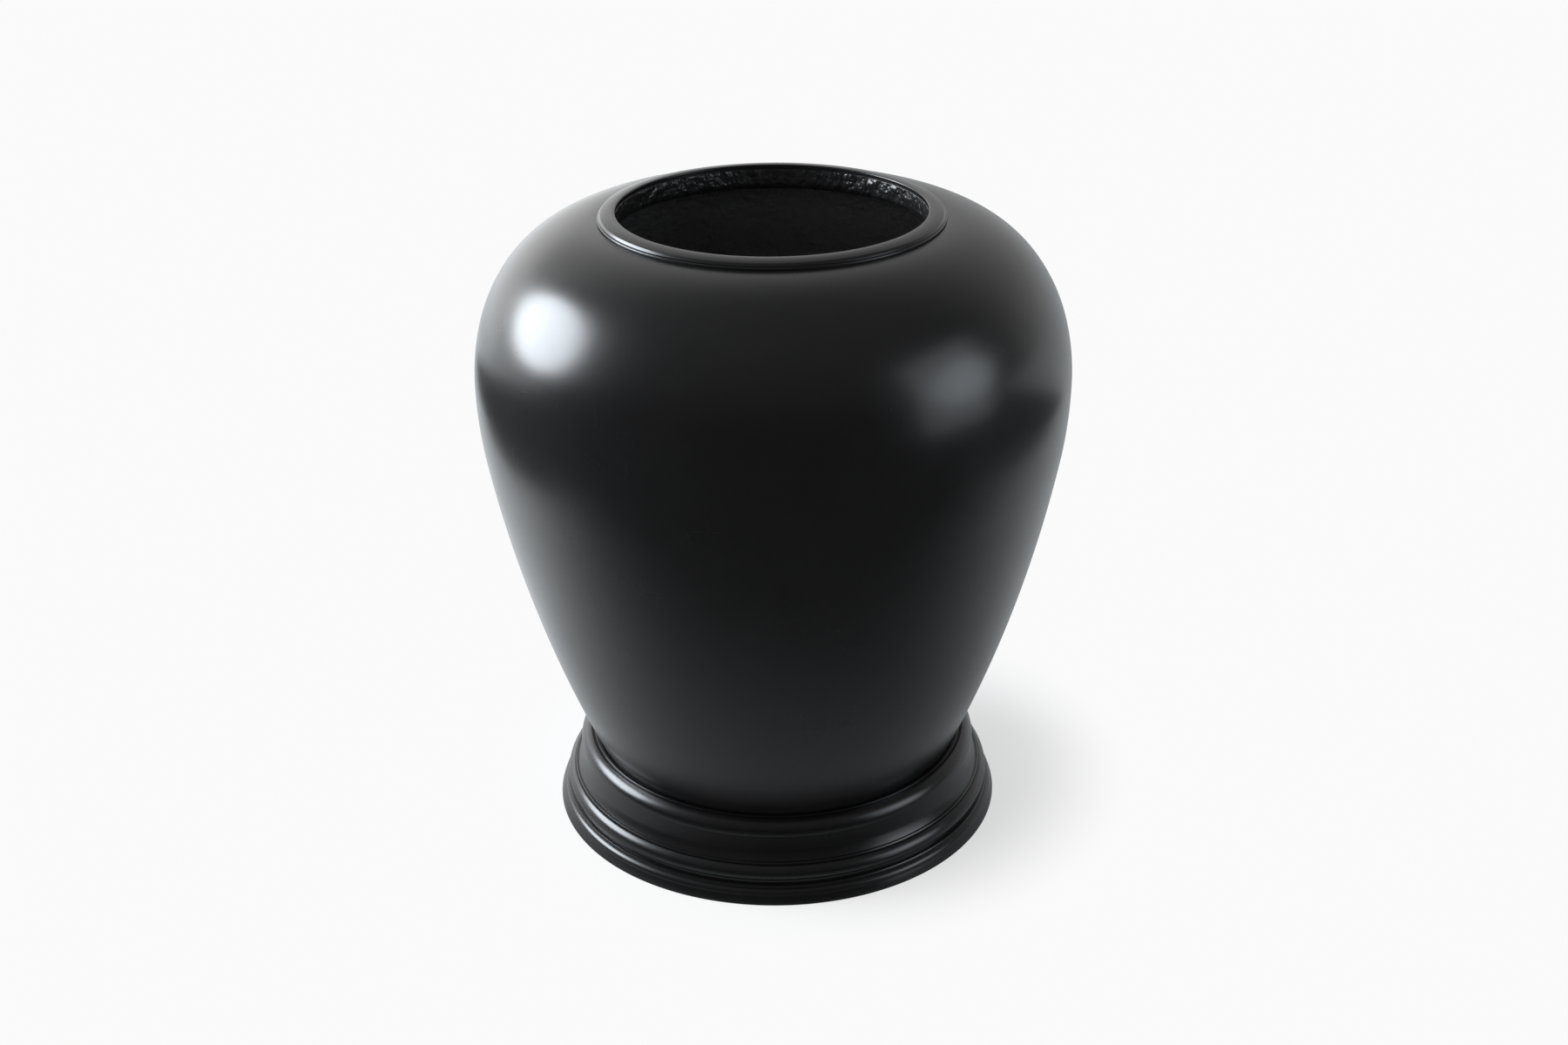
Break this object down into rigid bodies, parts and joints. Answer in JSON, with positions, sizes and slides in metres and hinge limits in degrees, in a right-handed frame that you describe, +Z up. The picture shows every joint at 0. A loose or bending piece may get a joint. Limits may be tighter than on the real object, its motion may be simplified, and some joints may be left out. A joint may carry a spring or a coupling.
{
  "type": "lidless wide-shouldered ceramic jar",
  "caption": "Large wide-shouldered ceramic jar, open at the top, with a moulded mouth ring and a moulded foot that the body stands in; holds water, stems or dry goods.",
  "frame": {"origin": "centre of the circle that the foot stands on, at floor level", "axes": "+Z up along the jar's axis of turning; X and Y are any two horizontal directions, as the jar is a body of revolution"},
  "size_m": [0.4105, 0.4106, 0.45],
  "materials": {
    "body_glaze": "satin black glaze, even and slightly soft in its reflections; rough and streaky on the inside",
    "ring_glaze": "satin black glaze, worn a little at the edges",
    "foot_glaze": "satin black glaze on turned mouldings, bare dark clay under the foot",
    "slip": "matt dark slip, set back in the joints"
  },
  "bodies": {
    "root": {"foot_ring": "foot_glaze", "foot_lute": "slip", "lower_body": "body_glaze", "belly_lute": "body_glaze", "upper_body": "body_glaze", "mouth_lute": "slip", "mouth_ring": "ring_glaze"}
  },
  "joints": []
}
